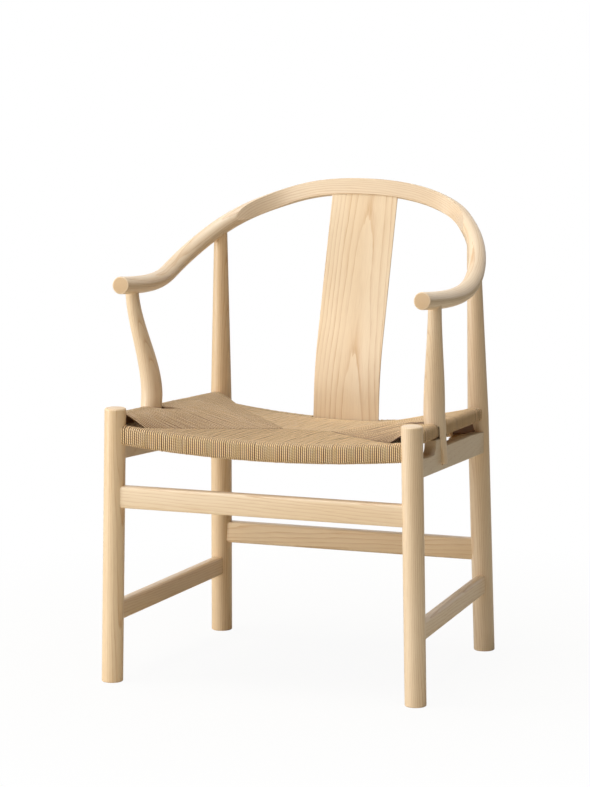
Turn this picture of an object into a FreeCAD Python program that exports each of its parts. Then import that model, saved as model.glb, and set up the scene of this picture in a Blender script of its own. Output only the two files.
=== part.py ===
import FreeCAD, Part
import os
from math import asin, atan2, cos, pi, radians, sin, sqrt

# Horseshoe back armchair in pale wood with a woven paper cord seat.
# Four round legs, one bent bow that is back rest and both arms, a curved splat, two S-curved
# arm posts, a seat frame hidden in the cord, a deep apron under each side rail and four stretchers.
# Millimetres. +Z is up and the front faces -Y. +X is to the right as seen from the front,
# and right and left in names are meant so too.
# The origin is on the floor, in the middle of the chair's outline.
# Two sizes place most of the rest: widths hang on the front legs, and heights are measured down (drop)
# or up (rise) from the middle of the side rails at the front legs. The arms drop from the back.

V = FreeCAD.Vector

# Legs
leg_diameter = 36.0
front_legs_width = 536.2
rear_leg_inset = 25.55
leg_depth = 445.9
leg_inward_share = 0.018
rear_leg_forward_share = 0.048
front_leg_rise = 21.5
rear_leg_top_diameter = 22.6
rear_leg_taper_drop = 28.0
foot_chamfer = 1.5
leg_top_bevel = 2.0

# Bow: centre line poles as shares of its half width, its reach from back to arm end, and its rise
bow_diameter = 29.5
bow_outset = 1.0
bow_behind_rear_legs = 73.3
arm_end_from_front_legs = 35.8
bow_back_rise = 342.6
arm_end_drop = 121.0
bow_pole_shares = [
    (0.000, 0.000, 1.000),
    (0.282, 0.000, 1.000),
    (0.586, 0.000, 0.788),
    (0.746, 0.132, 0.640),
    (0.905, 0.250, 0.377),
    (1.027, 0.483, -0.050),
    (0.989, 0.642, -0.188),
    (0.981, 1.000, 0.000),
]
bow_degree = 3
bow_stations = 26
arm_end_bevel = 2.0
leg_search_steps = 400
arm_search_steps = 40
facet_depth = 8.2
facet_half_length = 258.0
facet_run_out = 62.0
facet_stations = 8

# Splat: a bent board that leans back, from the rear rail to the bow
splat_width = 121.0
splat_thickness = 9.4
splat_foot_recline = 3.5
splat_bend_above_rail = 19.6
splat_bend_share = 1.1249
splat_edge_bevel = 1.0
splat_tenon_into_rail = 14.0

# Arm posts, each with a tongue that runs down outside the wrapped side rail into the apron
post_diameter = 36.0
post_top_diameter = 22.4
post_from_front_legs = 141.2
post_inset = 0.8
post_bend_rise = 22.0
post_bend_forward = 47.6
post_top_outset = 2.0
post_stations = 10
tongue_drop = 64.0
tongue_end_width = 12.0
tongue_end_rounding = 3.0
tongue_notch_gap = 2.5

# Seat frame, inside the cord
cord_diameter = 3.3
side_rail_thickness = 16.0
side_rail_height = 18.0
seat_rail_height = 443.0
side_rail_fall = 26.8
cross_rail_thickness = 15.0
cross_rail_height = 26.0
rail_rounding = 4.0
cross_rail_easing = 3.0
front_rail_end_drop = 8.9
front_rail_dip = 14.9
rear_rail_end_drop = 32.6
rear_rail_dip = 18.7
rear_rail_before_legs = 10.13

# Aprons under the side rails
apron_thickness = 20.0
apron_face_offset = 13.8
apron_front_bottom_drop = 65.7
apron_rear_bottom_drop = 94.0
apron_front_top_drop = 32.0
apron_scallop_drop = 41.2
apron_behind_post_drop = 38.0
apron_waist_drop = 48.3
apron_rear_top_drop = 58.0
apron_scallop_share = 0.200
apron_scallop_rise_share = 0.30
apron_ear_fillet = 15.0
apron_waist_share = 0.757
apron_edge_rounding = 2.0

# Stretchers, at shares of the seat rails' height
front_stretcher_share = 0.7124
rear_stretcher_share = 0.4023
side_stretcher_share = 0.2670
cross_stretcher_width = 22.0
cross_stretcher_depth = 37.0
side_stretcher_width = 18.0
side_stretcher_depth = 33.0
stretcher_rounding = 5.0

# Joinery
tenon_thickness = 8.0
rail_tenon_height = 14.0
side_rail_tenon_height = 12.0
apron_tenon_height = 18.0
stretcher_tenon_height = 20.0
tenon_shoulder = 25.0
mortise_end_gap = 1.0
round_tenon_diameter = 13.0
round_tenon_length = 20.0
post_foot_tenon_diameter = 12.0
post_foot_tenon_length = 12.0

# Woven seat
seat_clearance = 0.3
ridge_half_length = 43.5
ridge_depth_share = 0.4822
first_cord_inset = 47.0
last_cord_inset = 42.0
front_mitre_drop = 13.0
ridge_drop = 34.5
rear_mitre_drop = 35.0
mitre_thickness = 20.0
ridge_thickness = 15.0
seat_stations = 4

# Places that follow from the sizes above
leg_radius = leg_diameter / 2
bow_radius = bow_diameter / 2
bow_half_width = front_legs_width / 2 + bow_outset
overall_depth = leg_radius + leg_depth + bow_behind_rear_legs + bow_radius
front_y = leg_radius - overall_depth / 2
bow_back_y = front_y + leg_depth + bow_behind_rear_legs
bow_reach = leg_depth + bow_behind_rear_legs - arm_end_from_front_legs
front_leg_height = seat_rail_height + front_leg_rise
rear_leg_taper_start = seat_rail_height - rear_leg_taper_drop
side_rail_rear_height = seat_rail_height - side_rail_fall
front_rail_end_height = seat_rail_height - front_rail_end_drop
rear_rail_end_height = seat_rail_height - rear_rail_end_drop
bow_back_height = seat_rail_height + bow_back_rise
arm_end_height = bow_back_height - arm_end_drop
splat_bend_height = rear_rail_end_height + splat_bend_above_rail
splat_bend_radius = (bow_back_height - splat_bend_height) * splat_bend_share
front_stretcher_height = seat_rail_height * front_stretcher_share
rear_stretcher_height = seat_rail_height * rear_stretcher_share
side_stretcher_height = seat_rail_height * side_stretcher_share
post_radius = post_diameter / 2
post_bend_start = seat_rail_height + post_bend_rise
tongue_bottom = seat_rail_height - tongue_drop
side = V(1, 0, 0)
back = V(0, 1, 0)
up = V(0, 0, 1)


def front_leg_axis(z):
    return V(front_legs_width / 2 - leg_inward_share * z, front_y, z)


def rear_leg_axis(z):
    x = front_legs_width / 2 - rear_leg_inset - leg_inward_share * z
    return V(x, front_y + leg_depth - rear_leg_forward_share * z, z)


def facing_out(solid):
    """The same solid with its faces turned outward, where a loft or a mirror image left them inward."""
    if solid.Volume < 0:
        solid.reverse()
    return solid


def mirrored(shape):
    return facing_out(shape.mirror(V(0, 0, 0), side))


def both_sides(shape):
    return [shape, mirrored(shape)]


def circle_wire(centre, normal, radius):
    return Part.Wire(Part.Circle(centre, normal, radius).toShape())


def between(start, end, share):
    return start + (end - start) * share


def rounded_rectangle(centre, across, upward, width, height, rounding):
    """A closed wire of width along across and height along upward, with arcs at its corners."""
    edges = []
    w = width / 2 - rounding
    h = height / 2 - rounding
    ends = []
    for quarters, (cx, cz) in enumerate([(w, h), (-w, h), (-w, -h), (w, -h)]):
        middle = centre + across * cx + upward * cz
        spots = []
        for angle in (quarters * pi / 2, (quarters + 1 / 2) * pi / 2, (quarters + 1) * pi / 2):
            spots.append(middle + across * (rounding * cos(angle)) + upward * (rounding * sin(angle)))
        ends.append(spots)
    for i, spots in enumerate(ends):
        edges.append(Part.Arc(*spots).toShape())
        edges.append(Part.LineSegment(spots[2], ends[(i + 1) % 4][0]).toShape())
    return Part.Wire(edges)


def bar(start, end, width, height, rounding):
    """A straight rounded bar from start to end."""
    along = (end - start).normalize()
    across = along.cross(up).normalize()
    upward = across.cross(along)
    wire = rounded_rectangle(start, across, upward, width, height, rounding)
    return Part.Face(wire).extrude(along * (end - start).Length)


def square_bar(start, end, width, height, offset=0.0):
    """A bar with square corners, moved sideways by offset away from the middle of the chair."""
    along = (end - start).normalize()
    across = along.cross(up).normalize()
    upward = across.cross(along)
    middle = start + across * offset
    w = across * (width / 2)
    h = upward * (height / 2)
    corners = [middle - w - h, middle + w - h, middle + w + h, middle - w + h, middle - w - h]
    return Part.Face(Part.makePolygon(corners)).extrude(along * (end - start).Length)


def lengthened(start, end, extra):
    along = (end - start).normalize() * extra
    return start - along, end + along


def round_bar(start, end, diameter):
    return Part.makeCylinder(diameter / 2, (end - start).Length, start, end - start)


def largest(shape):
    """The biggest solid of a cut, where the cut leaves offcuts."""
    return max(shape.Solids, key=lambda solid: solid.Volume)


def joined(*shapes):
    """Fuses touching shapes into one clean solid."""
    result = shapes[0].fuse(list(shapes[1:]))
    return result.removeSplitter()


def corner_arc(start, corner, end):
    """The arc that leaves start towards corner and arrives at end, both as far from the corner."""
    half_chord = (end - start) / 2
    rise = corner - start - half_chord
    arm = (corner - start).Length
    crown = start + half_chord + rise * (half_chord.Length / (arm + half_chord.Length))
    return Part.Arc(start, crown, end).toShape()


def tangent_arcs(points, directions):
    """Joins points by pairs of arcs that follow a direction at each point, so that the line has no corner."""
    edges = []
    for start, end, leave, arrive in zip(points, points[1:], directions, directions[1:]):
        chord = end - start
        reach = chord.dot(leave + arrive)
        turn = 2 * (1 - leave.dot(arrive))
        square = chord.dot(chord)
        arm = square / (reach + sqrt(reach ** 2 + turn * square))
        first, last = start + leave * arm, end - arrive * arm
        middle = (first + last) / 2
        edges += [corner_arc(start, first, middle), corner_arc(middle, last, end)]
    return edges


# Legs

def front_leg_rod(grow=0.0):
    """The right front leg's round, run on below the floor. grow makes it larger for a clearance."""
    return round_bar(front_leg_axis(-leg_diameter), front_leg_axis(front_leg_height), leg_diameter + 2 * grow)


def rear_leg_rod(top, grow=0.0):
    """The right rear leg's round up to a point inside the bow, tapering above the seat."""
    waist = rear_leg_axis(rear_leg_taper_start)
    straight = round_bar(rear_leg_axis(-leg_diameter), waist, leg_diameter + 2 * grow)
    axis = top - waist
    taper = Part.makeCone(leg_radius + grow, rear_leg_top_diameter / 2 + grow, axis.Length, waist, axis)
    return straight.fuse(taper)


def standing(rod):
    """Cuts a leg level with the floor and bevels its foot."""
    corner = V(0, -overall_depth, -2 * leg_diameter)
    below = Part.makeBox(overall_depth, 2 * overall_depth, 2 * leg_diameter, corner)
    leg = largest(rod.cut(below))
    rim = [edge for edge in leg.Edges if edge.CenterOfMass.z < foot_chamfer / 2]
    return leg.makeChamfer(foot_chamfer, rim)


def front_leg_solid():
    leg = standing(front_leg_rod())
    rim = [edge for edge in leg.Edges if edge.CenterOfMass.z > front_leg_height - leg_top_bevel]
    return leg.makeChamfer(leg_top_bevel, rim)


# Bow

def bow_half_curve():
    poles = []
    for x_share, y_share, z_share in bow_pole_shares:
        y = bow_back_y - y_share * bow_reach
        poles.append(V(x_share * bow_half_width, y, arm_end_height + z_share * arm_end_drop))
    spans = len(poles) - bow_degree
    knots = list(range(spans + 1))
    counts = [bow_degree + 1] + [1] * (spans - 1) + [bow_degree + 1]
    curve = Part.BSplineCurve()
    curve.buildFromPolesMultsKnots(poles, counts, knots, False, bow_degree)
    return curve


def splat_direction():
    return V(0, sin(splat_top_angle()), cos(splat_top_angle()))


def bow_frame(curve, distance):
    """Centre, tangent and inward direction, square to the splat's lean, along the right half of the bow."""
    at = curve.parameterAtDistance(distance)
    centre = curve.value(at)
    tangent = curve.tangent(at)[0]
    return centre, tangent, tangent.cross(splat_direction()).normalize()


def flipped(vector):
    return V(-vector.x, vector.y, vector.z)


def bow_rod(curve):
    """The round rod of the bow: circles square to the centre line, from the middle to each arm end."""
    reach = curve.length() - arm_end_bevel
    stations = [(reach * i / bow_stations, bow_radius) for i in range(bow_stations + 1)]
    stations.append((curve.length(), bow_radius - arm_end_bevel))
    wires = []
    for distance, radius in stations:
        centre, tangent, _ = bow_frame(curve, distance)
        wires.append(circle_wire(centre, tangent, radius))
    return joined(*both_sides(facing_out(Part.makeLoft(wires, True, True))))


def facet_cutter(curve):
    """What is planed off the inner side of the back, level with the splat's lean, out to the arms."""
    lean = splat_direction()
    full = facet_half_length - facet_run_out

    def planed(distance):
        """A point of the planed face, and the same point laid onto the plane square to the lean."""
        centre, _, inward = bow_frame(curve, distance)
        run_out = max(0, distance - full) / facet_run_out
        point = centre + inward * (bow_radius - facet_depth * (1 - run_out * run_out))
        return point, point - lean * point.dot(lean), inward

    points, directions = [], []
    step = facet_run_out / facet_stations
    for i in range(facet_stations + 1):
        distance = facet_half_length * i / facet_stations
        point, flat, inward = planed(distance)
        ahead = planed(distance + step)[1] - (planed(distance - step)[1] if i else flipped(planed(step)[1]))
        points.append(flat)
        directions.append(ahead.normalize())
    left = [flipped(flat) for flat in reversed(points[1:])]
    left_directions = [V(t.x, -t.y, -t.z) for t in reversed(directions[1:])]
    edges = tangent_arcs(left + points, left_directions + directions)
    aside = inward * bow_diameter
    corners = [points[-1], points[-1] + aside, left[0] + flipped(aside), left[0]]
    edges += [Part.LineSegment(a, b).toShape() for a, b in zip(corners, corners[1:])]
    face = Part.Face(Part.Wire(edges))
    low = point.dot(lean) - 2 * bow_diameter
    high = planed(0)[0].dot(lean) + 2 * bow_diameter
    face.translate(lean * low)
    return facing_out(face.extrude(lean * (high - low)))


# Splat

def splat_solid(grow=0.0, end_gap=0.0):
    """The bent board, from its tenon in the rear rail to its tenon in the bow."""
    foot_angle = radians(splat_foot_recline)
    top_angle = splat_top_angle()
    half = splat_thickness / 2 + grow
    bend, centre = splat_bend()
    foot_drop = splat_bend_above_rail + rear_rail_dip + splat_tenon_into_rail + end_gap
    foot = bend - V(0, sin(foot_angle), cos(foot_angle)) * (foot_drop / cos(foot_angle))

    def on_bend(angle, radius):
        return centre + V(0, -cos(angle), sin(angle)) * radius

    leave = on_bend(top_angle, splat_bend_radius)
    lean = splat_direction()
    top = leave + lean * ((bow_back_height - leave.z) / lean.z + end_gap)
    foot_normal = V(0, cos(foot_angle), -sin(foot_angle))
    top_normal = V(0, cos(top_angle), -sin(top_angle))
    middle = (foot_angle + top_angle) / 2
    front = splat_bend_radius + half
    rear = splat_bend_radius - half
    edges = [
        Part.LineSegment(foot - foot_normal * half, on_bend(foot_angle, front)).toShape(),
        Part.Arc(on_bend(foot_angle, front), on_bend(middle, front), on_bend(top_angle, front)).toShape(),
        Part.LineSegment(on_bend(top_angle, front), top - top_normal * half).toShape(),
        Part.LineSegment(top - top_normal * half, top + top_normal * half).toShape(),
        Part.LineSegment(top + top_normal * half, on_bend(top_angle, rear)).toShape(),
        Part.Arc(on_bend(top_angle, rear), on_bend(middle, rear), on_bend(foot_angle, rear)).toShape(),
        Part.LineSegment(on_bend(foot_angle, rear), foot + foot_normal * half).toShape(),
        Part.LineSegment(foot + foot_normal * half, foot - foot_normal * half).toShape(),
    ]
    face = Part.Face(Part.Wire(edges))
    face.translate(V(-splat_width / 2 - grow, 0, 0))
    board = face.extrude(side * (splat_width + 2 * grow))
    long_edges = [e for e in board.Edges if abs(e.Vertexes[0].X - e.Vertexes[1].X) < splat_thickness]
    long_edges = [e for e in long_edges if e.Length > splat_thickness * 2]
    return board.makeChamfer(splat_edge_bevel + grow, long_edges)


def splat_bend():
    """Where the splat starts to bend, straight above its foot in the rear rail, and the bend's centre."""
    foot_angle = radians(splat_foot_recline)
    rise = splat_bend_above_rail + rear_rail_dip
    bend = V(0, rear_rail_y() + rise * sin(foot_angle) / cos(foot_angle), splat_bend_height)
    return bend, bend + V(0, cos(foot_angle), -sin(foot_angle)) * splat_bend_radius


def splat_top_angle():
    """The lean of the splat's straight upper part, which runs from the bend to the bow's centre line."""
    reach = V(0, bow_back_y, bow_back_height) - splat_bend()[1]
    return atan2(reach.y, reach.z) + asin(splat_bend_radius / reach.Length)


# Side plane: the upright plane through the right front and right rear leg at the seat

def side_point(distance, height, offset=0.0):
    """A point at a distance behind the front leg, at a height, and offset outward from the legs' plane."""
    start = front_leg_axis(seat_rail_height)
    along = (rear_leg_axis(seat_rail_height) - start).normalize()
    return V(start.x, start.y, height) + along * distance + side_outward() * offset


def side_outward():
    along = rear_leg_axis(seat_rail_height) - front_leg_axis(seat_rail_height)
    return along.normalize().cross(up)


def side_span():
    return (rear_leg_axis(seat_rail_height) - front_leg_axis(seat_rail_height)).Length


def side_rail_ends():
    return front_leg_axis(seat_rail_height), rear_leg_axis(side_rail_rear_height)


def side_rail_z(distance):
    """Height of the side rail's centre line at a distance behind the front leg."""
    return seat_rail_height - side_rail_fall * distance / side_span()


# Arm post

def post_foot():
    return side_point(post_from_front_legs, 0, -post_inset)


def arm_centre(curve):
    """The point of the bow's centre line that stands over the top of the post."""
    aim = post_foot().y - post_bend_forward
    low, high = facet_half_length, curve.length()
    for _ in range(arm_search_steps):
        middle = (low + high) / 2
        if curve.value(curve.parameterAtDistance(middle)).y > aim:
            low = middle
        else:
            high = middle
    return curve.value(curve.parameterAtDistance(middle))


def post_upper(curve, grow=0.0):
    """The S-curved round, from where it starts to bend to the middle of the arm."""
    arm = arm_centre(curve)
    foot = post_foot()
    wires = []
    for i in range(post_stations + 1):
        share = i / post_stations
        bend = share * share * (3 - 2 * share)
        x = foot.x + (arm.x + post_top_outset - foot.x) * bend
        y = foot.y - post_bend_forward * bend
        z = post_bend_start + (arm.z - post_bend_start) * share
        radius = post_radius - (post_diameter - post_top_diameter) / 2 * bend
        wires.append(circle_wire(V(x, y, z), up, radius + grow))
    return facing_out(Part.makeLoft(wires, True, True))


def rail_side_of_post():
    """What is cut from the post's foot: it stands on the rail, with its tongue outside the cord."""
    start, end = side_rail_ends()
    along = (end - start).normalize()
    upward = along.cross(up).normalize().cross(along)
    block = post_diameter * 4
    drop = upward * (block / 2 - side_rail_height / 2)
    tongue_face = side_rail_thickness / 2 + cord_diameter + seat_clearance
    return square_bar(start - drop, end - drop, block, block, tongue_face - block / 2)


def tongue_outline():
    """Side view of the post's lower end, straight to the rail's underside and tapering to a rounded end."""
    half = tongue_end_width / 2
    r = tongue_end_rounding
    q = r * (1 - cos(pi / 4))
    shoulder = side_rail_z(post_from_front_legs) - side_rail_height / 2 - cord_diameter
    low = tongue_bottom

    def at(sideways, z):
        return side_point(post_from_front_legs + sideways, z, -post_diameter)

    sides = [at(half, low + r), at(post_radius, shoulder), at(post_radius, post_bend_start)]
    sides += [at(-post_radius, post_bend_start), at(-post_radius, shoulder), at(-half, low + r)]
    edges = [Part.LineSegment(a, b).toShape() for a, b in zip(sides, sides[1:])]
    edges += [
        Part.Arc(at(-half, low + r), at(q - half, low + q), at(r - half, low)).toShape(),
        Part.LineSegment(at(r - half, low), at(half - r, low)).toShape(),
        Part.Arc(at(half - r, low), at(half - q, low + q), at(half, low + r)).toShape(),
    ]
    return Part.Face(Part.Wire(edges)).extrude(side_outward() * post_diameter * 2)


def post_lower(grow=0.0):
    foot = post_foot()
    base = V(foot.x, foot.y, tongue_bottom)
    rod = Part.makeCylinder(post_radius + grow, post_bend_start - tongue_bottom, base)
    rod = largest(rod.cut(rail_side_of_post()))
    if grow:
        return rod
    return largest(rod.common(tongue_outline()))


def post_pegs(curve, end_gap=0.0):
    """The round tenons at the foot and at the top of the post."""
    foot = post_foot()
    arm = arm_centre(curve)
    rail_top = side_rail_z(post_from_front_legs) + side_rail_height / 2
    low = V(foot.x, foot.y, rail_top - post_foot_tenon_length - end_gap)
    top = V(arm.x + post_top_outset, foot.y - post_bend_forward, arm.z + bow_radius / 2 + end_gap)
    return [
        round_bar(low, V(foot.x, foot.y, rail_top + post_foot_tenon_length), post_foot_tenon_diameter),
        round_bar(V(top.x, top.y, arm.z - round_tenon_length), top, round_tenon_diameter),
    ]


# Members between two legs

def coped(body, round_pieces):
    """Cuts the ends of a member to the round pieces that it butts against."""
    for piece in round_pieces:
        body = largest(body.cut(piece))
    return body


def straight_member(start, end, width, height, rounding, tenon_height, legs):
    """A stretcher or straight rail with its tenons. Returns the piece and the cutter of its mortises."""
    body = coped(bar(start, end, width, height, rounding), legs)
    tenon = square_bar(start, end, tenon_thickness, tenon_height)
    longer = lengthened(start, end, mortise_end_gap)
    cutter = square_bar(*longer, tenon_thickness, tenon_height)
    return joined(body, tenon), cutter


def arched_bar(half_span, y, end_top, dip):
    """A cross rail that dips in the middle, with its four long edges eased."""
    low = end_top - cross_rail_height
    edges = [
        Part.Arc(V(-half_span, 0, end_top), V(0, 0, end_top - dip), V(half_span, 0, end_top)).toShape(),
        Part.LineSegment(V(half_span, 0, end_top), V(half_span, 0, low)).toShape(),
        Part.Arc(V(half_span, 0, low), V(0, 0, low - dip), V(-half_span, 0, low)).toShape(),
        Part.LineSegment(V(-half_span, 0, low), V(-half_span, 0, end_top)).toShape(),
    ]
    face = Part.Face(Part.Wire(edges))
    face.translate(V(0, y - cross_rail_thickness / 2, 0))
    block = face.extrude(back * cross_rail_thickness)
    long_edges = [e for e in block.Edges if e.Length > half_span]
    return block.makeChamfer(cross_rail_easing, long_edges)


def arch_drop(half_span, dip, x):
    """How far a dipped rail lies below its ends at x."""
    radius = (half_span ** 2 + dip ** 2) / (2 * dip)
    return dip - (radius - sqrt(radius ** 2 - x ** 2))


def cross_rail(half_span, y, end_top, dip, legs):
    """A dipped rail with a short tenon at each end. Returns the piece and the cutters of its mortises."""
    body = coped(arched_bar(half_span, y, end_top, dip), legs)
    tenon_z = end_top - cross_rail_height / 2 - arch_drop(half_span, dip, half_span - leg_radius)
    end = V(half_span, y, tenon_z)
    inner = end - side * tenon_shoulder
    tenon = square_bar(inner, end, tenon_thickness, rail_tenon_height)
    cutter = square_bar(inner, end + side * mortise_end_gap, tenon_thickness, rail_tenon_height)
    return joined(body, *both_sides(tenon)), both_sides(cutter)


# Aprons

def apron_board():
    """The right apron: straight below, scalloped in front of the post, with an ear behind the tongue."""
    span = side_span()
    face_from_post = apron_face_offset + post_inset
    tongue_rear = post_from_front_legs + sqrt(post_radius ** 2 - face_from_post ** 2)
    scallop = span * apron_scallop_share
    waist = span * apron_waist_share
    ear = scallop + apron_ear_fillet
    fillet_drop = apron_scallop_drop - apron_ear_fillet
    quarter = apron_ear_fillet * sin(pi / 4)
    under_cord = side_rail_height / 2 + cord_diameter + seat_clearance
    scallop_middle = between(apron_scallop_drop, apron_front_top_drop, apron_scallop_rise_share)

    def at(distance, drop):
        return side_point(distance, seat_rail_height - drop, apron_face_offset - apron_thickness)

    def under_rail(distance):
        return at(distance, seat_rail_height - side_rail_z(distance) + under_cord)

    corners = [
        under_rail(tongue_rear),
        at(tongue_rear, apron_behind_post_drop),
        at(waist, apron_waist_drop),
        at(span, apron_rear_top_drop),
        at(span, apron_rear_bottom_drop),
        at(0, apron_front_bottom_drop),
        at(0, apron_front_top_drop),
    ]
    edges = [Part.LineSegment(a, b).toShape() for a, b in zip(corners, corners[1:])]
    low = at(scallop, apron_scallop_drop)
    edges.append(Part.Arc(corners[-1], at(scallop / 2, scallop_middle), low).toShape())
    turn = at(scallop + quarter, fillet_drop + quarter)
    edges.append(Part.Arc(low, turn, at(ear, fillet_drop)).toShape())
    if (under_rail(ear) - at(ear, fillet_drop)).Length > seat_clearance:
        edges.append(Part.LineSegment(at(ear, fillet_drop), under_rail(ear)).toShape())
    edges.append(Part.LineSegment(under_rail(ear), corners[0]).toShape())
    return Part.Face(Part.Wire(edges)).extrude(side_outward() * apron_thickness)


def apron_tenon(end_gap=0.0):
    """The tenon that runs through the board from leg to leg. With end_gap it is as long as its mortises."""
    offset = apron_face_offset - apron_thickness / 2
    front_z = seat_rail_height - (apron_front_bottom_drop + apron_front_top_drop) / 2
    rear_z = seat_rail_height - (apron_rear_bottom_drop + apron_rear_top_drop) / 2
    start = side_point(-end_gap, front_z)
    end = side_point(side_span() + end_gap, rear_z)
    return square_bar(start, end, tenon_thickness, apron_tenon_height, offset)


# Woven seat

def crossing_points():
    """Top corners of the woven panels on the right: first crossing, ridge end and last crossing."""
    rail_start, rail_end = side_rail_ends()
    from_leg = (leg_radius + cord_diameter) / leg_depth
    first = between(rail_start, rail_end, from_leg)
    last = between(rail_end, rail_start, from_leg)
    return [
        V(first.x - first_cord_inset, first.y, seat_rail_height - front_mitre_drop),
        V(ridge_half_length, front_y + leg_depth * ridge_depth_share, seat_rail_height - ridge_drop),
        V(last.x - last_cord_inset, last.y, seat_rail_height - rear_mitre_drop),
    ]


def wound_section(rail, outward, width, height, mitre=None, thickness=0.0):
    """Corners of a section through a wrapped rail, and its cords as far as the mitre where one is given."""
    r = rail_rounding + cord_diameter
    w = width / 2 + cord_diameter
    h = height / 2 + cord_diameter
    q = r * (1 - cos(pi / 4))

    def at(sideways, z):
        return rail + outward * sideways + up * z

    top, low = (mitre, mitre - up * thickness) if mitre else (at(-w, h - r), at(-w, r - h))
    outer = [at(w - r, -h), at(w - q, q - h), at(w, r - h), at(w, h - r), at(w - q, h - q), at(w - r, h)]
    return [at(r - w, h), top, low, at(r - w, -h)] + outer


def flat_sided(sections):
    """A solid through sections of as many corners each, with a triangle pair from each side to the next."""
    faces = [Part.Face(Part.makePolygon(corners + corners[:1])) for corners in (sections[0], sections[-1])]
    for here, there in zip(sections, sections[1:]):
        for i in range(len(here)):
            a, b, c, d = here[i - 1], here[i], there[i], there[i - 1]
            for corners in ([a, b, c, a], [a, c, d, a]):
                faces.append(Part.Face(Part.makePolygon(corners)))
    return facing_out(Part.makeSolid(Part.makeShell(faces)))


def halfway(stations, count):
    """Adds evenly spaced stations, each (point, thickness), between those given."""
    result = stations[:1]
    for (point, thickness), (next_point, next_thickness) in zip(stations, stations[1:]):
        for i in range(1, count + 1):
            share = i / count
            result.append((between(point, next_point, share), between(thickness, next_thickness, share)))
    return result


def side_panel():
    """The right side rail's wrapping and the woven panel that runs from it to the mitres."""
    start, end = side_rail_ends()
    first, ridge, last = crossing_points()

    def section(y, mitre=None, thickness=0.0):
        rail = between(start, end, (y - start.y) / (end.y - start.y))
        return wound_section(rail, side, side_rail_thickness, side_rail_height, mitre, thickness)

    mitres = [(first, mitre_thickness), (ridge, ridge_thickness), (last, mitre_thickness)]
    mitres = halfway(mitres, seat_stations)
    sections = [section(start.y), section(first.y - cord_diameter)]
    sections += [section(point.y, point, thickness) for point, thickness in mitres]
    sections += [section(last.y + cord_diameter), section(end.y)]
    return flat_sided(sections)


def cross_panel(half_span, y, end_top, dip, crossing, outward):
    """The front or rear rail's wrapping and the panel that runs from it to the mitres and the ridge."""
    ridge = crossing_points()[1]

    def section(x, mitre=None, thickness=0.0):
        rail = V(x, y, end_top - cross_rail_height / 2 - arch_drop(half_span, dip, x))
        return wound_section(rail, outward, cross_rail_thickness, cross_rail_height, mitre, thickness)

    right = halfway([(ridge, ridge_thickness), (crossing, mitre_thickness)], seat_stations)
    left = [(flipped(point), thickness) for point, thickness in reversed(right)]
    beyond = crossing.x + cord_diameter
    sections = [section(-half_span), section(-beyond)]
    sections += [section(point.x, point, thickness) for point, thickness in left + right]
    sections += [section(beyond), section(half_span)]
    return flat_sided(sections)


def seat_solid(blockers):
    """The cord round the four rails and the four panels between them, clear of what stands in it."""
    first, _, last = crossing_points()
    front = cross_panel(*front_rail_line(), first, -back)
    rear = cross_panel(*rear_rail_line(), last, back)
    seat = joined(*both_sides(side_panel()), front, rear)
    for blocker in blockers:
        seat = largest(seat.cut(blocker))
    return seat


def front_rail_line():
    """Half span, depth position, end height and dip of the front rail."""
    return front_leg_axis(front_rail_end_height).x, front_y, front_rail_end_height, front_rail_dip


def rear_rail_line():
    axis = rear_leg_axis(rear_rail_end_height)
    return axis.x, rear_rail_y(), rear_rail_end_height, rear_rail_dip


def rear_rail_y():
    """The rear rail lies a little in front of the rear legs' axes and carries the foot of the splat."""
    return rear_leg_axis(rear_rail_end_height - cross_rail_height / 2).y - rear_rail_before_legs


# Assembly

def leg_under_bow(curve):
    """The point of the rear leg's axis that lies nearest to the bow's centre line."""
    steps = range(leg_search_steps)
    points = [curve.value(curve.parameterAtDistance(curve.length() * i / leg_search_steps)) for i in steps]
    nearest = min(points, key=lambda point: (point - rear_leg_axis(point.z)).Length)
    return rear_leg_axis(nearest.z)


def rear_leg_peg(top, end_gap=0.0):
    along = (top - rear_leg_axis(rear_leg_taper_start)).normalize()
    end = top + along * (bow_radius / 2 + end_gap)
    return round_bar(top - along * round_tenon_length, end, round_tenon_diameter)


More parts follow.
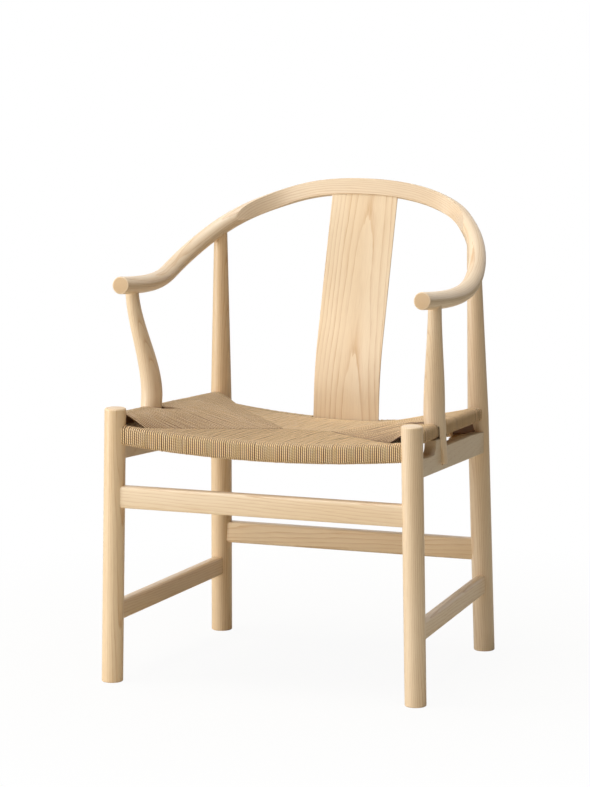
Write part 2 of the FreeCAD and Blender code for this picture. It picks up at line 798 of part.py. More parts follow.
def build():
    """All pieces of the chair by name."""
    curve = bow_half_curve()
    rod = bow_rod(curve)
    bow = rod.cut(facet_cutter(curve))
    leg_top = leg_under_bow(curve)
    front_rods = both_sides(front_leg_rod())
    rear_rods = both_sides(rear_leg_rod(leg_top))
    right_rods = [front_rods[0], rear_rods[0]]

    front_start, rear_start = front_leg_axis(front_stretcher_height), rear_leg_axis(rear_stretcher_height)
    cross = (cross_stretcher_width, cross_stretcher_depth, stretcher_rounding, stretcher_tenon_height)
    front_stretcher, front_cut = straight_member(flipped(front_start), front_start, *cross, front_rods)
    rear_stretcher, rear_cut = straight_member(flipped(rear_start), rear_start, *cross, rear_rods)
    low_ends = (front_leg_axis(side_stretcher_height), rear_leg_axis(side_stretcher_height))
    low = (side_stretcher_width, side_stretcher_depth, stretcher_rounding, stretcher_tenon_height)
    side_stretcher, low_cut = straight_member(*low_ends, *low, right_rods)

    rail = (side_rail_thickness, side_rail_height, rail_rounding, side_rail_tenon_height)
    side_rail, rail_cut = straight_member(*side_rail_ends(), *rail, right_rods)
    front_rail, front_rail_cuts = cross_rail(*front_rail_line(), front_rods)
    rear_rail, rear_rail_cuts = cross_rail(*rear_rail_line(), rear_rods)

    board = rounded_apron(coped(apron_board(), right_rods))
    apron = joined(board, apron_tenon())
    apron_cut = apron_tenon(mortise_end_gap)

    post_top = coped(post_upper(curve), [rod])
    lower = post_lower()
    post = joined(post_top, lower, *post_pegs(curve))
    for shift in (0.0, tongue_notch_gap):
        notch = lower.copy()
        notch.translate(up * -shift)
        apron = largest(apron.cut(notch))
    foot_hole, arm_hole = post_pegs(curve, mortise_end_gap)
    side_rail = largest(side_rail.cut(foot_hole))

    front_leg = front_leg_solid()
    for cutter in (front_cut, low_cut, rail_cut, front_rail_cuts[0], apron_cut):
        front_leg = largest(front_leg.cut(cutter))
    rear_leg = coped(standing(rear_rods[0]), [rod])
    rear_leg = joined(rear_leg, rear_leg_peg(leg_top))
    for cutter in (rear_cut, low_cut, rail_cut, rear_rail_cuts[0], apron_cut):
        rear_leg = largest(rear_leg.cut(cutter))

    splat_hole = splat_solid(0.0, mortise_end_gap)
    for hole in both_sides(arm_hole) + both_sides(rear_leg_peg(leg_top, mortise_end_gap)) + [splat_hole]:
        bow = largest(bow.cut(hole))
    rear_rail = largest(rear_rail.cut(splat_hole))

    grown = seat_clearance
    blockers = both_sides(front_leg_rod(grown)) + both_sides(rear_leg_rod(leg_top, grown))
    blockers += both_sides(bar(*side_rail_ends(), *rail[:3]))
    blockers += [arched_bar(*front_rail_line()), arched_bar(*rear_rail_line())]
    blockers += both_sides(post_lower(grown)) + [splat_solid(grown)]
    seat = seat_solid(blockers)

    pieces = {
        "horseshoe_bow": bow,
        "back_splat": splat_solid(),
        "front_seat_rail": front_rail,
        "rear_seat_rail": rear_rail,
        "front_stretcher": front_stretcher,
        "rear_stretcher": rear_stretcher,
        "woven_seat": seat,
    }
    pairs = {
        "front_leg": front_leg,
        "rear_leg": rear_leg,
        "arm_post": post,
        "seat_rail": side_rail,
        "apron": apron,
        "stretcher": side_stretcher,
    }
    for name, shape in pairs.items():
        for which, copy in zip(("right", "left"), both_sides(shape)):
            pieces[pair_name(which, name)] = copy
    return pieces


def pair_name(which, name):
    for end in ("front", "rear"):
        if name.startswith(end):
            return end + "_" + which + name[len(end):]
    return which + "_" + name


def rounded_apron(board):
    """Eases the long lower edges of an apron, which show against the light."""
    limit = seat_rail_height - apron_front_bottom_drop + apron_edge_rounding
    low = [e for e in board.Edges if e.Length > side_span() / 2 and e.BoundBox.ZMax < limit]
    return board.makeFillet(apron_edge_rounding, low)


def main():
    os.makedirs("parts", exist_ok=True)
    for name, shape in build().items():
        shape.exportStep(os.path.join("parts", name + ".step"))
        state = "valid" if shape.isValid() else "NOT VALID"
        print("%s: %d solid, %.0f mm3, %s" % (name, len(shape.Solids), shape.Volume, state))


main()
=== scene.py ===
# %% [markdown]
# # A horseshoe back armchair in oiled ash with a paper cord seat
#
# The chair has four round legs, one bent rod that is back rest and both arms, a thin splat, two
# S-curved arm posts, and a seat woven from one long paper cord. We dress a fixed model of it: every
# piece here sits exactly where that model has it, so the sizes below are the real ones, in metres.

# %% Load the fixed model
from math import acos, cos, pi, radians, sin, sqrt
import bpy
import numpy as np
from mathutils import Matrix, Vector


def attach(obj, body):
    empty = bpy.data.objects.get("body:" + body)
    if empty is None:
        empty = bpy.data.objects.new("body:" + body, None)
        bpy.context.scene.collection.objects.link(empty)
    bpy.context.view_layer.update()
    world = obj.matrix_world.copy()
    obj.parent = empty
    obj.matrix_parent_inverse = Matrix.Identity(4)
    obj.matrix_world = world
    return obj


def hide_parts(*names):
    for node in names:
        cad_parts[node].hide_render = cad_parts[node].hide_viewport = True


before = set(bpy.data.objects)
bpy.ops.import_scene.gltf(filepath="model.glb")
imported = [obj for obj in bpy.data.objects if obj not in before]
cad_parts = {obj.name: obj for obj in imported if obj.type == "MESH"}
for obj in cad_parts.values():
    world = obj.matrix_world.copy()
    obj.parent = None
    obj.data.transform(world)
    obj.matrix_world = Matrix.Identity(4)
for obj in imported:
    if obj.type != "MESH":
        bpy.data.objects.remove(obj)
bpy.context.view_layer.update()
mm = 0.001

# %% [markdown]
# ## Camera
#
# The photograph was taken from far away with a long lens, a little above the seat and to the right.
# A camera at the real distance gives the same flat perspective, which no shorter lens would.

# %% Camera
def aim(obj, target):
    """Turns a camera or a lamp toward a point."""
    obj.rotation_euler = (Vector(target) - obj.location).to_track_quat("-Z", "Y").to_euler()


camera = bpy.data.objects.new("camera", bpy.data.cameras.new("camera"))
bpy.context.scene.collection.objects.link(camera)
camera.location = (2.66874, -7.38984, 1.75941)
aim(camera, (-0.02115, -0.04243, 0.46861))
camera.data.sensor_fit = "VERTICAL"
camera.data.sensor_height = 36.0
camera.data.lens = 215.32
camera.data.clip_end = 60.0
bpy.context.scene.camera = camera
print("camera at", [round(value, 3) for value in camera.location])

# %% [markdown]
# ## Light and floor
#
# The photograph is a studio shot on white. The white comes from the world and the floor as the camera
# sees them, and not from more light, so the wood keeps its own colour. Three soft boxes light the chair:
# one at the left and low, like a window, draws a bright line down the left of every rod, a large one
# overhead lights the bow and the seat, and a weak one in front lifts the rest. The right side of each
# rod gets only what the floor throws back, which is why the floor's paint is a warm white.

# %% Colours and nodes
def linear(hex_colour):
    """An sRGB hex colour as the linear values that a shader takes."""
    parts = [int(hex_colour[i:i + 2], 16) / 255 for i in (1, 3, 5)]
    return tuple(c / 12.92 if c <= 0.04045 else ((c + 0.055) / 1.055) ** 2.4 for c in parts) + (1.0,)


def add_node(tree, kind, settings=None, **links):
    """Adds a node. Settings are its own options, and links are values or sockets for its inputs."""
    node = tree.nodes.new(kind)
    for name, value in (settings or {}).items():
        setattr(node, name, value)
    for name, value in links.items():
        key = int(name[1:]) if name[1:].isdigit() else name.replace("_", " ")
        if isinstance(value, bpy.types.NodeSocket):
            tree.links.new(value, node.inputs[key])
        else:
            node.inputs[key].default_value = value
    return node


def tinted(hex_colour, tint):
    """A colour with its red, green and blue each multiplied by a share."""
    return tuple(value * share for value, share in zip(linear(hex_colour), (*tint, 1)))


def grey(value):
    """A grey as a shader's colour."""
    return (value, value, value, 1)


def add_ramp(tree, factor, stops):
    """A colour ramp through (place, colour) stops."""
    ramp = add_node(tree, "ShaderNodeValToRGB", Fac=factor)
    while len(ramp.color_ramp.elements) < len(stops):
        ramp.color_ramp.elements.new(0.5)
    for element, (place, colour) in zip(ramp.color_ramp.elements, stops):
        element.position, element.color = place, colour
    return ramp.outputs["Color"]


def new_material(name):
    """An empty material and its node tree."""
    material = bpy.data.materials.new(name)
    material.use_nodes = True
    tree = material.node_tree
    tree.nodes.clear()
    return material, tree


# %% White surroundings
scene = bpy.context.scene
scene.view_settings.view_transform = "Standard"
world = bpy.data.worlds.new("white_studio")
scene.world = world
world.use_nodes = True
tree = world.node_tree
tree.nodes.clear()
path = add_node(tree, "ShaderNodeLightPath")
seen = add_node(tree, "ShaderNodeMath", {"operation": "MAXIMUM"},
                _0=path.outputs["Is Camera Ray"], _1=path.outputs["Is Transmission Ray"])
seen = add_node(tree, "ShaderNodeMath", {"operation": "MAXIMUM"},
                _0=seen.outputs[0], _1=path.outputs["Is Glossy Ray"])
fill = add_node(tree, "ShaderNodeBackground", Color=linear("#FFF3DF"), Strength=0.055)
white = add_node(tree, "ShaderNodeBackground", Color=(1, 1, 1, 1), Strength=1.0)
mix = add_node(tree, "ShaderNodeMixShader", Fac=seen.outputs[0], _1=fill.outputs[0], _2=white.outputs[0])
add_node(tree, "ShaderNodeOutputWorld", Surface=mix.outputs[0])

bpy.ops.mesh.primitive_plane_add(size=40, location=(0, 0, 0))
floor = bpy.context.object
floor.name = "studio_floor"
material, tree = new_material("white painted studio floor")
path = add_node(tree, "ShaderNodeLightPath")
paint = add_node(tree, "ShaderNodeBsdfDiffuse", Color=linear("#E2DAC8"))
glow = add_node(tree, "ShaderNodeEmission", Color=(1, 1, 1, 1), Strength=1.0)
away = add_node(tree, "ShaderNodeTexCoord").outputs["Object"]
away = add_node(tree, "ShaderNodeVectorMath", {"operation": "LENGTH"}, _0=away).outputs["Value"]
# Near the chair 6 % of the real paint shows, which keeps a faint shadow. Further out it is all white.
burnt = add_node(tree, "ShaderNodeMapRange", Value=away, From_Min=0.45, From_Max=1.1,
                 To_Min=0.94, To_Max=1.0)
share = add_node(tree, "ShaderNodeMath", {"operation": "MULTIPLY"},
                 _0=path.outputs["Is Camera Ray"], _1=burnt.outputs[0])
mix = add_node(tree, "ShaderNodeMixShader", Fac=share.outputs[0], _1=paint.outputs[0], _2=glow.outputs[0])
add_node(tree, "ShaderNodeOutputMaterial", Surface=mix.outputs[0])
floor.data.materials.append(material)
print("floor and world are white to the camera")


# %% Studio lamps
def soft_box(name, place, size, power, colour):
    """A square lamp that looks at the seat."""
    lamp = bpy.data.objects.new(name, bpy.data.lights.new(name, "AREA"))
    scene.collection.objects.link(lamp)
    lamp.location = place
    aim(lamp, (0, 0, 0.45))
    lamp.data.size = size
    lamp.data.energy = power
    lamp.data.color = linear(colour)[:3]


soft_box("window_left", (-3.6, -2.2, 0.8), 1.7, 117, "#F3F8FF")
soft_box("front_fill", (-0.3, -4.8, 1.8), 2.4, 41, "#FFFFFF")
soft_box("above", (-0.7, -0.9, 6.3), 4.5, 385, "#F8FAFF")
print("three soft lamps")

# %% [markdown]
# ## Making round and bent wood
#
# Every wooden piece is a stack of closed outlines along its length: a bent rod, a turned leg and a
# planed bar differ only in the outline. So one function builds them all. It also writes where each
# point lay in the plank, across, through and along the grain, so that the figure of the wood
# bends with the piece, and shows end grain where the piece is cut across.

# %% A piece from stacked outlines
def mesh_piece(name, points, faces, places, place_name):
    """A mesh with a place in its own material for each point, under a name that the material reads."""
    mesh = bpy.data.meshes.new(name)
    mesh.from_pydata(points.tolist(), [], faces)
    layer = mesh.attributes.new(place_name, "FLOAT_VECTOR", "POINT")
    layer.data.foreach_set("vector", np.asarray(places, np.float32).ravel())
    mesh.polygons.foreach_set("use_smooth", [True] * len(mesh.polygons))
    mesh.set_sharp_from_angle(angle=radians(32))
    obj = bpy.data.objects.new(name, mesh)
    scene.collection.objects.link(obj)
    return obj


def stacked(name, outlines, places):
    """A closed piece through outlines of as many points each, capped at both ends."""
    outlines, places = np.asarray(outlines, float), np.asarray(places, float)
    rows, around = outlines.shape[:2]
    faces = []
    for row in range(rows - 1):
        for i in range(around):
            j = (i + 1) % around
            a, b = row * around, (row + 1) * around
            faces.append((a + i, a + j, b + j, b + i))
    faces.append(tuple(range(around))[::-1])
    faces.append(tuple((rows - 1) * around + i for i in range(around)))
    return mesh_piece(name, outlines.reshape(-1, 3), faces, places.reshape(-1, 3), "grain")


def finish_piece(obj, material, *nodes, sawn_ends=None):
    """Gives a piece its material, lets it ride with the chair, and hides the nodes of the fixed model
    that it stands for. Sawn ends are for a stacked piece, whose last two faces are its ends."""
    obj.data.materials.append(material)
    if sawn_ends:
        obj.data.materials.append(sawn_ends)
        for cap in obj.data.polygons[-2:]:
            cap.material_index = 1
    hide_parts(*nodes)
    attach(obj, "root")
    return obj


def unit(vector):
    """The direction of a vector, with length 1."""
    return vector / np.linalg.norm(vector)


# %% [markdown]
# ## Oiled ash
#
# The wood is a pale ash. It is ring-porous: each year's growth begins with a row of open pores, which
# shows as a fine tan line, and fades into dense cream wood. Seen on the flat of a board the lines
# make arches, on a rod they run straight. So the figure is worked out from the rings themselves,
# as distances from the heart of the tree, 3.1 mm a year, and not painted on. Real rings of about 2 mm
# would be too fine for this view, and so would the pores: these are about 0.3 mm wide and drawn 0.8 mm
# wide and 25 mm long. The oil leaves a thin satin film, so dense wood shines a little more than pores.

# %% Ash material
pore_across, pore_along = 0.8 * mm, 25 * mm
bend_in_rings, ripple_in_rings = 9 * mm, 1.3 * mm
apron_slope = 0.063
plank_shift = (-0.20, 0.36, 0)


def oiled_ash(name, ring_width=3.1 * mm, heart_taper=0.018, along_axis=None, tint=(1, 1, 1), figure=0.62):
    """Ash with its rings, which widen by heart_taper along the plank, so that they come out as arches.
    Figure is how strong the lines are. The plank's places come from the mesh's own grain layer, or for
    the fixed model's pieces, which have none, from their place along an axis."""
    material, tree = new_material(name)

    if along_axis is None:
        place = add_node(tree, "ShaderNodeAttribute", {"attribute_name": "grain"}).outputs["Vector"]
    else:
        coordinates = add_node(tree, "ShaderNodeTexCoord")
        turns = {"x": (0, -pi / 2, 0), "y": (pi / 2 + apron_slope, 0, 0)}
        place = add_node(tree, "ShaderNodeMapping", Vector=coordinates.outputs["Object"],
                         Rotation=turns[along_axis], Location=plank_shift).outputs["Vector"]

    def noise(scale, detail):
        """Noise with so many patches to the metre across, through and along the grain."""
        stretched = add_node(tree, "ShaderNodeVectorMath", {"operation": "MULTIPLY"}, _0=place, _1=scale)
        return add_node(tree, "ShaderNodeTexNoise", Vector=stretched.outputs[0], Scale=1.0,
                        Detail=detail, Roughness=0.5).outputs["Fac"]

    def maths(operation, a, b):
        return add_node(tree, "ShaderNodeMath", {"operation": operation}, _0=a, _1=b).outputs[0]

    split = add_node(tree, "ShaderNodeSeparateXYZ", Vector=place)
    flat = add_node(tree, "ShaderNodeCombineXYZ", X=split.outputs["X"], Y=split.outputs["Y"])
    radius = add_node(tree, "ShaderNodeVectorMath", {"operation": "LENGTH"}, _0=flat.outputs[0])
    rise = maths("MULTIPLY", split.outputs["Z"], heart_taper)
    wobble = maths("MULTIPLY", maths("SUBTRACT", noise((22, 22, 4.0), 3.0), 0.5), bend_in_rings)
    ripple = maths("MULTIPLY", maths("SUBTRACT", noise((160, 160, 14), 2.0), 0.5), ripple_in_rings)
    radius = maths("ADD", maths("ADD", maths("ADD", radius.outputs["Value"], rise), wobble), ripple)
    in_year = maths("FRACT", maths("DIVIDE", radius, ring_width), 0.0)
    early = add_ramp(tree, in_year, [(0.0, grey(0.6)), (0.05, grey(1)), (0.22, grey(0.36)),
                                     (0.55, grey(0.06)), (1.0, grey(0))])
    good_year = add_ramp(tree, noise((60, 60, 6), 2.0), [(0.30, grey(0.35)), (0.70, grey(1))])
    line = maths("MULTIPLY", early, good_year)
    pores = noise((1 / pore_across, 1 / pore_across, 1 / pore_along), 1.0)
    pores = add_ramp(tree, pores, [(0.46, grey(0)), (0.66, grey(1))])
    open_pores = maths("MULTIPLY", pores, maths("ADD", maths("MULTIPLY", line, 0.75), 0.25))

    cloud = add_ramp(tree, noise((14, 14, 2.2), 3.0),
                     [(0.32, tinted("#E9CDA6", tint)), (0.68, tinted("#F2DBB9", tint))])
    lined = add_node(tree, "ShaderNodeMix", {"data_type": "RGBA"}, _0=maths("MULTIPLY", line, figure),
                     _6=cloud, _7=tinted("#CB9C66", tint)).outputs[2]
    colour = add_node(tree, "ShaderNodeMix", {"data_type": "RGBA"}, _0=maths("MULTIPLY", open_pores, 0.34),
                      _6=lined, _7=tinted("#B98A57", tint)).outputs[2]
    rough = add_node(tree, "ShaderNodeMapRange", Value=open_pores, To_Min=0.32, To_Max=0.55).outputs[0]
    bump = add_node(tree, "ShaderNodeBump", {"invert": True}, Height=open_pores, Distance=0.12 * mm,
                    Strength=0.5)
    skin = add_node(tree, "ShaderNodeBsdfPrincipled", Base_Color=colour, Roughness=rough, IOR=1.47,
                    Normal=bump.outputs[0])
    add_node(tree, "ShaderNodeOutputMaterial", Surface=skin.outputs[0])
    return material


# Two copies of one ash. The pieces at the left and the rear are tinted warmer: painted warm light,
# bounced among the wood into their shade. The rest are a little cooler.
ash = oiled_ash("ash, planed and oiled", tint=(1.02, 1.03, 1.06))
ash_warm_painted_bounce = oiled_ash("ash, planed and oiled, tinted warm as painted bounce light", tint=(0.95, 0.91, 0.85))
# The splat is a flat-sawn board of a fast-grown tree. Its wide rings make the tall arches.
splat_ring, splat_taper = 5.6 * mm, 0.022
ash_wide = oiled_ash("ash, board with wide rings, planed and oiled", splat_ring, splat_taper)
# The bow is tinted a shade darker and its planed facet darker still: painted shade, which tempers the
# strong light from the lamp overhead on the top of the bow.
ash_bow_painted_darker = oiled_ash("ash, bent, planed and oiled, painted a shade darker", tint=(0.96, 0.96, 0.97))
ash_facet_painted_darker = oiled_ash("ash, bent and planed flat, painted darker", tint=(0.94, 0.94, 0.96))
# End grain soaks up more oil, so the arms end in darker discs.
ash_end = oiled_ash("ash, sawn across the grain and oiled", tint=(0.78, 0.71, 0.62))
# The aprons are quarter-sawn: hardly any figure on their faces.
# Their ash is also tinted darker than the legs': painted shade, as they sit under the seat.
ash_side_painted_darker = oiled_ash("ash, planed and oiled, grain from front to back", along_axis="y",
                     tint=(0.84, 0.85, 0.87), figure=0.12)
# The seat's rails show only through the openings in the front corners, tinted deep brown as painted shade.
ash_rails_painted_shade = oiled_ash("ash, sawn, in the dark inside the seat", along_axis="x", tint=(0.26, 0.16, 0.10))
for node_name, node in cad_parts.items():
    node.data.materials.clear()
    node.data.materials.append(ash_rails_painted_shade if node_name.endswith("seat_rail") else ash_side_painted_darker)
print("eight cuts of ash")

# %% [markdown]
# ## Legs
#
# Each leg is a turned round, 36 mm thick, that leans inward. The front ones end just above the seat
# with an eased rim. The rear ones lean forward too, and taper above the seat down to the thickness
# that the bow can take, so they are one long piece from the floor to the bow.

# %% Legs
front_y, leg_depth = -257.975 * mm, 445.9 * mm
inward_lean, forward_lean = 0.018, 0.048
leg_radius = 18 * mm
east, north, sky = np.eye(3)


def front_leg_axis(z):
    """The middle of the right front leg at a height."""
    return np.array([268.1 * mm - inward_lean * z, front_y, z])


def rear_leg_axis(z):
    """The middle of the right rear leg at a height."""
    return np.array([242.55 * mm - inward_lean * z, front_y + leg_depth - forward_lean * z, z])


def level_ring(centre, radius, count=48):
    """A level circle of points round a centre."""
    turns = np.arange(count) * 2 * pi / count
    return centre + radius * (np.outer(np.cos(turns), east) + np.outer(np.sin(turns), north))


def leg(name, axis, stations, side, heart, node, wood=ash):
    """A round leg from level rings, each (height, radius). Heart is where the plank's heart lay."""
    outlines, places = [], []
    for z, radius in stations:
        outlines.append(level_ring(axis(z) * (side, 1, 1), radius))
        places.append(level_ring(np.array([*heart, z]), radius))
    return finish_piece(stacked(name, outlines, places), wood, node)


front_top, rim = 464.5 * mm, 3.2 * mm
eased = [(front_top - rim * (1 - sin(t)), leg_radius - rim * (1 - cos(t)))
         for t in np.linspace(0, pi / 2, 8)]
foot = [(0, leg_radius - 1.5 * mm), (0.6 * mm, leg_radius - 0.6 * mm), (1.5 * mm, leg_radius)]
front_stations = foot + [(z, leg_radius) for z in np.linspace(0.02, 0.46, 12)] + eased
taper_low, taper_high, narrower = 0.415, 0.7134, (36 - 22.6) / 2 * mm
taper = [(z, leg_radius - narrower * (z - taper_low) / (taper_high - taper_low))
         for z in np.linspace(taper_low, taper_high, 9)]
rear_stations = foot + [(z, leg_radius) for z in np.linspace(0.02, 0.41, 12)] + taper
leg("leg_front_right", front_leg_axis, front_stations, 1, (0.071, 0.022), "front_right_leg")
leg("leg_front_left", front_leg_axis, front_stations, -1, (0.082, -0.034), "front_left_leg", ash_warm_painted_bounce)
leg("leg_rear_right", rear_leg_axis, rear_stations, 1, (0.055, 0.061), "rear_right_leg")
leg("leg_rear_left", rear_leg_axis, rear_stations, -1, (-0.093, 0.030), "rear_left_leg", ash_warm_painted_bounce)
print("front legs", front_stations[-1][0], "m high, rear legs up to", rear_stations[-1][0])

# %% [markdown]
# ## The bow
#
# One rod, 29.5 mm thick, is bent in three directions at once: it wraps round the sitter, and drops from
# the back to the arms. A smooth line drawn by a few control points is what a bender's form gives, so
# it is a B-spline. On the inner side of the back a flat facet is planed, which runs out before the arms.

# %% The bow's line
bow_radius = 14.75 * mm
bow_poles = np.array([
    (0.000, 0.000, 1.000), (0.282, 0.000, 1.000), (0.586, 0.000, 0.788), (0.746, 0.132, 0.640),
    (0.905, 0.250, 0.377), (1.027, 0.483, -0.050), (0.989, 0.642, -0.188), (0.981, 1.000, 0.000),
]) * (269.1 * mm, -483.4 * mm, 121.0 * mm) + (0, 261.225 * mm, 664.6 * mm)


def spline_point(poles, t):
    """A clamped cubic B-spline at t from 0 to 1, by repeated halving between its poles."""
    spans = len(poles) - 3
    knots = np.concatenate([[0] * 3, np.arange(spans + 1), [spans] * 3])
    u = min(t, 1 - 1e-9) * spans
    k = int(u) + 3
    work = [poles[k - 3 + i].copy() for i in range(4)]
    for level in range(1, 4):
        for i in range(3, level - 1, -1):
            low = knots[k - 3 + i]
            share = (u - low) / (knots[i + k + 1 - level] - low)
            work[i] = work[i - 1] * (1 - share) + work[i] * share
    return work[3]


def length_so_far(points):
    """How far along a line of points each one lies."""
    return np.concatenate([[0], np.cumsum(np.linalg.norm(np.diff(points, axis=0), axis=1))])


fine = np.array([spline_point(bow_poles, t) for t in np.linspace(0, 1, 1500)])
run = length_so_far(fine)
bow_length = run[-1]
back_lean = radians(17.6)
lean = np.array([0, sin(back_lean), cos(back_lean)])


def bow_at(distance):
    """Centre, direction, upward and inward of the bow at a distance from the middle of the back."""
    def point(s):
        return np.array([np.interp(s, run, fine[:, axis]) for axis in range(3)])
    s = abs(distance)
    centre = point(s)
    tangent = unit(point(min(s + 2 * mm, bow_length)) - point(max(s - 2 * mm, 0)) if s > 2 * mm else east)
    upward = unit(lean - tangent * lean.dot(tangent))
    inward = np.cross(tangent, upward)
    if distance < 0:
        flip = np.array([-1, 1, 1])
        return centre * flip, tangent * (1, -1, -1), upward * flip, inward * flip
    return centre, tangent, upward, inward


print("bow line", round(2 * bow_length, 3), "m long")

# %% The bow's rod with its facet
facet_depth, facet_half, facet_run_out = 8.2 * mm, 258 * mm, 62 * mm


def facet_reach(distance):
    """How far the planed face lies from the rod's middle. Past its ends it is outside the rod."""
    out = max(0.0, abs(distance) - (facet_half - facet_run_out)) / facet_run_out
    return bow_radius - facet_depth * (1 - out * out)


outlines, places = [], []
arm_rim = 2 * mm
half = [(s, bow_radius) for s in np.linspace(0, bow_length - 4 * mm, 170)]
facet_rows = int(facet_half / half[1][0]) - 1
half += [(bow_length - arm_rim * (1 - sin(t)), bow_radius - arm_rim * (1 - cos(t)))
         for t in np.linspace(0, pi / 2, 6)]
bow_heart, bow_place_in_plank = (0.040, 0.052), 1.7
for distance, radius in [(-s, r) for s, r in half[:0:-1]] + half:
    centre, tangent, upward, inward = bow_at(distance)
    reach = min(facet_reach(distance), radius - 0.01 * mm)
    edge = acos(reach / radius)
    turns = np.concatenate([np.linspace(-edge, edge, 13), np.linspace(edge, 2 * pi - edge, 44)[1:-1]])
    over = radius * np.cos(turns)
    beside = radius * np.sin(turns)
    over[:13] = reach
    outlines.append(centre + np.outer(over, inward) + np.outer(beside, upward))
    along = np.full(len(turns), distance + bow_place_in_plank)
    places.append(np.stack([over + bow_heart[0], beside + bow_heart[1], along], axis=1))
bow = finish_piece(stacked("bow", outlines, places), ash_bow_painted_darker, "horseshoe_bow", sawn_ends=ash_end)
bow.data.materials.append(ash_facet_painted_darker)
for number, face in enumerate(bow.data.polygons[:-2]):
    row, place = divmod(number, len(turns))
    if place < 12 and abs(row - len(half) + 1.5) < facet_rows:
        face.material_index = 2
print("bow of", len(outlines), "rings")

# %% [markdown]
# ## Arm posts
#
# Each post stands on the side rail of the seat, inside the cord, and swings forward in an S to meet
# the arm. Its lower end is cut away so that a tongue, which leans out a little and narrows downward,
# runs outside the wrapped rail and is let into the apron. A tongue is a round cut by flat planes, so
# each of its outlines is a clipped circle.

# %% Side plane of the seat
rail_front_z, rail_rear_z = 443.0 * mm, 416.2 * mm
side_start, side_end = front_leg_axis(rail_front_z), rear_leg_axis(rail_front_z)
side_along = unit(side_end - side_start)
side_out = np.cross(side_along, sky)
post_from_front = 141.2 * mm


def side_point(distance, height, offset=0.0):
    """A point in the legs' plane at a distance behind the front leg, or offset outward from it."""
    return np.array([side_start[0], side_start[1], height]) + side_along * distance + side_out * offset


def rail_height(distance):
    """Height of the side rail's middle at a distance behind the front leg."""
    return rail_front_z + (rail_rear_z - rail_front_z) * distance / np.linalg.norm(side_end - side_start)


# %% Arm posts
post_radius, post_top_radius = 18 * mm, 11.2 * mm
post_offset, post_forward, arm_offset = -0.8 * mm, 47.6 * mm, 2 * mm
post_bend_z = 465 * mm
post_foot = side_point(post_from_front, 0, post_offset)
arm_s = np.interp(post_forward - post_foot[1], -fine[:, 1], run)
arm_centre, _, _, _ = bow_at(arm_s)
tongue_low, tongue_half, tongue_face = 379 * mm, 8.5 * mm, 11.6 * mm
tongue_middle, tongue_lean = 14.6 * mm, 5.0 * mm
tongue_rounding = 3 * mm
shoulder = rail_height(post_from_front) - 12.3 * mm
rail_top = rail_height(post_from_front) + 9 * mm


def clipped(height, half_width, face, count=64):
    """A level outline of the round post, kept to |along| < half_width and outward of face."""
    lean_out = tongue_lean * max(0.0, (post_bend_z - height) / (post_bend_z - tongue_low))
    inside = side_point(post_from_front, height, tongue_middle + lean_out)
    centre = side_point(post_from_front, height, post_offset + lean_out)
    points = []
    for turn in np.arange(count) * 2 * pi / count:
        ray = side_along * cos(turn) + side_out * sin(turn)
        gap = inside - centre
        b = gap.dot(ray)
        reach = -b + sqrt(b * b - gap.dot(gap) + post_radius ** 2)
        along, out = ray.dot(side_along), ray.dot(side_out)
        if abs(along) > 1e-6:
            reach = min(reach, half_width / abs(along))
        if out < -1e-6:
            reach = min(reach, (tongue_middle + lean_out - face) / -out)
        points.append(inside + ray * reach)
    return np.array(points)


tongue_rows = [(tongue_low + tongue_rounding * (1 - sin(t)), tongue_half - tongue_rounding * (1 - cos(t)),
                tongue_face) for t in np.linspace(pi / 2, 0, 6)]
widening = ([tongue_low + tongue_rounding, shoulder - 18 * mm, shoulder],
            [tongue_half, 10 * mm, post_radius])
tongue_rows += [(z, np.interp(z, *widening), tongue_face)
                for z in np.linspace(tongue_low + 2 * tongue_rounding, shoulder, 12)]
tongue_rows += [(rail_top - 0.05 * mm, post_radius, tongue_face), (rail_top, post_radius, -post_radius)]
outlines = [clipped(*row) for row in tongue_rows]
for z in np.linspace(rail_top + 2 * mm, post_bend_z, 4)[:-1]:
    outlines.append(clipped(z, post_radius, -post_radius))
full_round = clipped(post_bend_z, post_radius, -post_radius)
full_round -= side_point(post_from_front, post_bend_z, post_offset)
for share in np.linspace(0, 1, 40):
    bend = share * share * (3 - 2 * share)
    middle = np.array([post_foot[0] + (arm_centre[0] + arm_offset - post_foot[0]) * bend,
                       post_foot[1] - post_forward * bend,
                       post_bend_z + (arm_centre[2] - post_bend_z) * share])
    radius = post_radius - (post_radius - post_top_radius) * bend
    outlines.append(middle + full_round * radius / post_radius)
outlines = np.array(outlines)
places = outlines - outlines.mean(axis=1, keepdims=True) * (1, 1, 0)
for name, flip, heart, node in (("arm_post_right", 1, (0.048, 0.050), "right_arm_post"),
                                ("arm_post_left", -1, (-0.058, 0.046), "left_arm_post")):
    rows = outlines * (flip, 1, 1)
    in_plank = places * (flip, 1, 1) + (*heart, 0.4)
    piece = stacked(name, rows[:, ::flip], in_plank[:, ::flip])
    finish_piece(piece, ash, node)
print("arm posts reach", arm_centre.round(4))

# %% [markdown]
# ## Splat, stretchers and aprons
#
# The splat is a thin board, straight up to the seat and then bent back to follow the spine. Its long
# edges are planed under, so that it looks thinner than it is. The stretchers are planed bars with well
# rounded edges. The aprons keep the fixed model's own shape, whose scallop and slot for the tongue
# were sawn, so only their finish is new.

# %% Splat
splat_width, splat_thickness, splat_rounding, splat_undercut = 121 * mm, 9.4 * mm, 2.2 * mm, 9 * mm


